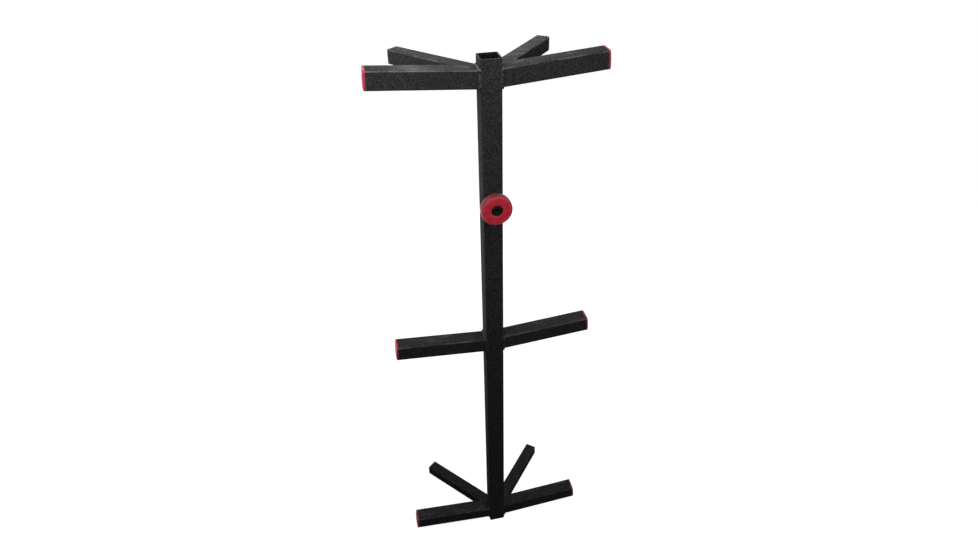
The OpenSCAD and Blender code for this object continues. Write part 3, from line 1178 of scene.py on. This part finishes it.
# %% Thread, and the bolt
THREAD_PITCH, THREAD_DEPTH, THREAD_LEN = 1.25, 0.55, 16
RINGS_PER_TURN = 8
CREST_SLOPE = 2.6
PLAIN_TIP, TIP_FADE, SHANK_FADE = 0.9, 1.2, 2
POINT, UNDER_HEAD, LEAD_IN = 0.8, 0.4, 0.2


def thread(angle, place):
    turn = (place / THREAD_PITCH + angle / (2 * math.pi)) % 1
    at_end = max(0, (place - BOLT_END - PLAIN_TIP) / TIP_FADE)
    at_shank = max(0, (BOLT_END + THREAD_LEN - place) / SHANK_FADE)
    crest = min(1, CREST_SLOPE * abs(turn - 0.5))
    return SHANK_R - THREAD_DEPTH * (1 - crest) * min(1, at_end, at_shank)


place = BOLT_END + THREAD_LEN
shank = [(SHANK_R + UNDER_HEAD, HEAD_LOW), (SHANK_R, HEAD_LOW - UNDER_HEAD),
         (SHANK_R, place + LEAD_IN)]
while place > BOLT_END + POINT:
    shank.append((thread, place))
    place -= THREAD_PITCH / RINGS_PER_TURN
shank += [(SHANK_R, BOLT_END + POINT), (SHANK_R - POINT, BOLT_END)]
bolt_ends = [CENTRE + Vector((0, -d * MM, 0))
             for d in (HEAD_TOP - KEY_DEPTH - DRILL_TIP, BOLT_END)]
skin("socket_bolt", spun(head + shank, AROUND), BLACK_STEEL, ["button_bolt"], ends=bolt_ends)
print("Rings along the bolt:", len(head + shank))

# %% [markdown]
# A stamped washer is round-edged on the side the punch pressed and sharper
# on the other. Both washers are zinc plated.

# %% The washers
WASHER_BORE_R, WASHER_AROUND = 4.2, 72
PRESSED_EDGE, SHARP_EDGE, HOLE_EDGE = 0.35, 0.1, 0.2


def washer(name, node):
    low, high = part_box(node)
    outer, near, far = radius_of(low, high), in_front(high.y), in_front(low.y)
    section = [(WASHER_BORE_R, near + SHARP_EDGE), (WASHER_BORE_R + SHARP_EDGE, near),
               (outer - SHARP_EDGE, near), (outer, near + SHARP_EDGE)]
    section += arc(outer - PRESSED_EDGE, far - PRESSED_EDGE, PRESSED_EDGE, 0, 90, steps=4)
    section += [(WASHER_BORE_R + HOLE_EDGE, far), (WASHER_BORE_R, far - HOLE_EDGE)]
    return skin(name, spun(section, WASHER_AROUND), ZINC_PLATE, [node])


washers = [washer("washer_front", "front_washer"), washer("washer_back", "back_washer")]
print("Washers:", len(washers))

# %% [markdown]
# ## Floor and backdrop
#
# The stick stands on a plain pale floor that runs back further than the
# camera sees. A real white sweep needs a flood of light to come out white,
# and that light would bleach the dark coat. So the floor adds its own glow
# for rays that come straight from the camera or off something shiny or
# clear, and is an ordinary matt grey for all other rays. What light falls on
# it still counts, so it keeps the stick's soft shadow.

# %% Rays that see the backdrop
def seen_directly(tree):
    """1 for rays from the camera, or by way of something shiny or clear."""
    camera_ray, shiny, clear = (
        tree.add("ShaderNodeLightPath", out=f"Is {kind} Ray")
        for kind in ("Camera", "Glossy", "Transmission"))
    return tree.maths("ADD", camera_ray + shiny, clear, clamp=True)


print("The floor and the world glow for camera, glossy and transmission rays")

# %% [markdown]
# The glow is a touch under white round the stick's foot, so that a shadow
# can show there, and rises to white further out, so that no edge shows.

# %% Floor
FLOOR_HALF = 9.0
FLOOR_GREY = 0.3
FLOOR_GLOW = 0.96
GLOW_STARTS, GLOW_FULL = 0.4, 1.4


def pale_floor():
    sheet = Finish("pale_floor")
    matt = sheet.add("ShaderNodeBsdfDiffuse", None, {"Color": (FLOOR_GREY,) * 3 + (1,)})
    away = sheet.add(
        "ShaderNodeVectorMath", {"operation": "LENGTH"}, {0: sheet.point()}, out="Value")
    brightness = FLOOR_GLOW + away.between(GLOW_STARTS, GLOW_FULL) * (1 - FLOOR_GLOW)
    glow = sheet.add("ShaderNodeEmission", None, {"Strength": seen_directly(sheet) * brightness})
    both = sheet.add("ShaderNodeAddShader", None, {0: matt, 1: glow})
    sheet.add("ShaderNodeOutputMaterial", None, {"Surface": both})
    return sheet


floor_z = cad_bounds[0][2]
floor_mesh = bpy.data.meshes.new("floor")
corners = [(x * FLOOR_HALF, y * FLOOR_HALF, floor_z)
           for x, y in ((-1, -1), (1, -1), (1, 1), (-1, 1))]
floor_mesh.from_pydata(corners, [], [(0, 1, 2, 3)])
floor_mesh.materials.append(pale_floor().material)
floor = bpy.data.objects.new("floor", floor_mesh)
bpy.context.scene.collection.objects.link(floor)
print("Floor at", floor_z, "and", 2 * FLOOR_HALF, "m wide")

# %% [markdown]
# The world does the same: white where it is seen, and for all other rays
# only a trace of even light from all round.

# %% World
AMBIENT = 0.02
world = bpy.data.worlds.new("studio")
world.use_nodes = True
bpy.context.scene.world = world

sky = NodeTree(world.node_tree)
strength = AMBIENT + seen_directly(sky) * (1 - AMBIENT)
background = sky.add("ShaderNodeBackground", None, {"Color": (1, 1, 1, 1), "Strength": strength})
sky.add("ShaderNodeOutputWorld", None, {"Surface": background})
print("Ambient light", AMBIENT)

# %% [markdown]
# ## Lamps
#
# Dark, matt tube shows its shape only by how bright one face is beside the
# next, so the light is built face by face from twelve soft discs. Each disc
# shines only to its front.
#
# - The key hangs close to the stick's top, so its light fades down the post.
#   The overhead lamp, high on the right, is the broadest of the front ones.
# - Two front lamps, right and left, fill the faces that look at the viewer.
# - One lamp stands level on the left. The two rising ones are lower and aim
#   up, so they light the post's left side above the middle steps only.
# - Three small ones near the top pick out the upper stand-offs, and a tiny
#   one lies just over a step and gives it its glint.
# - A large one behind lifts the rear off the shadow.
#
# All the strengths were worked out together, because each lamp also reaches
# its neighbours' faces. That suits this one view. A part that is to be seen
# from all sides is better served by two or three broad lamps.

# %% Lamps
def soft_disc(name, at, aim, size, watts):
    lamp = bpy.data.lights.new(name, "AREA")
    lamp.shape = "DISK"
    lamp.size = size
    lamp.energy = watts
    held = bpy.data.objects.new(name, lamp)
    held.location = at
    held.rotation_euler = (Vector(aim) - Vector(at)).to_track_quat("-Z", "Y").to_euler()
    held.visible_camera = False
    bpy.context.scene.collection.objects.link(held)
    return held


top = post_high.z
upper, rear, high_up = (0, 0, top - 0.2), (0, 0.06, top - 0.02), (0, 0, 0.8)
lamps = [
    soft_disc("key", (-0.105, -0.18, top + 0.23), upper, 0.18, 0.47),
    soft_disc("overhead", (0.50, -0.29, top + 0.68), upper, 0.4, 3.1),
    soft_disc("front_right", (0.30, -0.55, top + 0.14), upper, 0.25, 1.15),
    soft_disc("front_left", (-0.30, -0.20, top + 0.05), upper, 0.12, 0.46),
    soft_disc("left", (-0.45, 0.15, top + 0.03), rear, 0.12, 0.72),
    soft_disc("left_rising", (-0.25, 0.20, 0.44), high_up, 0.1, 0.78),
    soft_disc("left_rising_near", (-0.30, 0.05, 0.45), high_up, 0.08, 0.30),
    soft_disc("rear_left", (-0.07, 0.17, top + 0.12), rear, 0.06, 0.36),
    soft_disc("standoff_left", (-0.15, 0.02, top + 0.137), (-0.07, 0.07, top - 0.02), 0.04, 0.14),
    soft_disc("standoff_right", (0.06, 0.09, top + 0.087), (0.06, 0.06, top - 0.02), 0.04, 0.18),
    soft_disc("step_glint", (-0.085, 0, top + 0.017), (-0.085, 0, top - 0.013), 0.015, 0.014),
    soft_disc("behind", (0.5, 1.1, 0.3), (0, 0, 0.35), 0.6, 5.0),
]
bpy.context.scene.view_settings.view_transform = "Standard"
print("Lamps:", ", ".join(f"{lamp.name} {lamp.data.energy:g} W" for lamp in lamps))
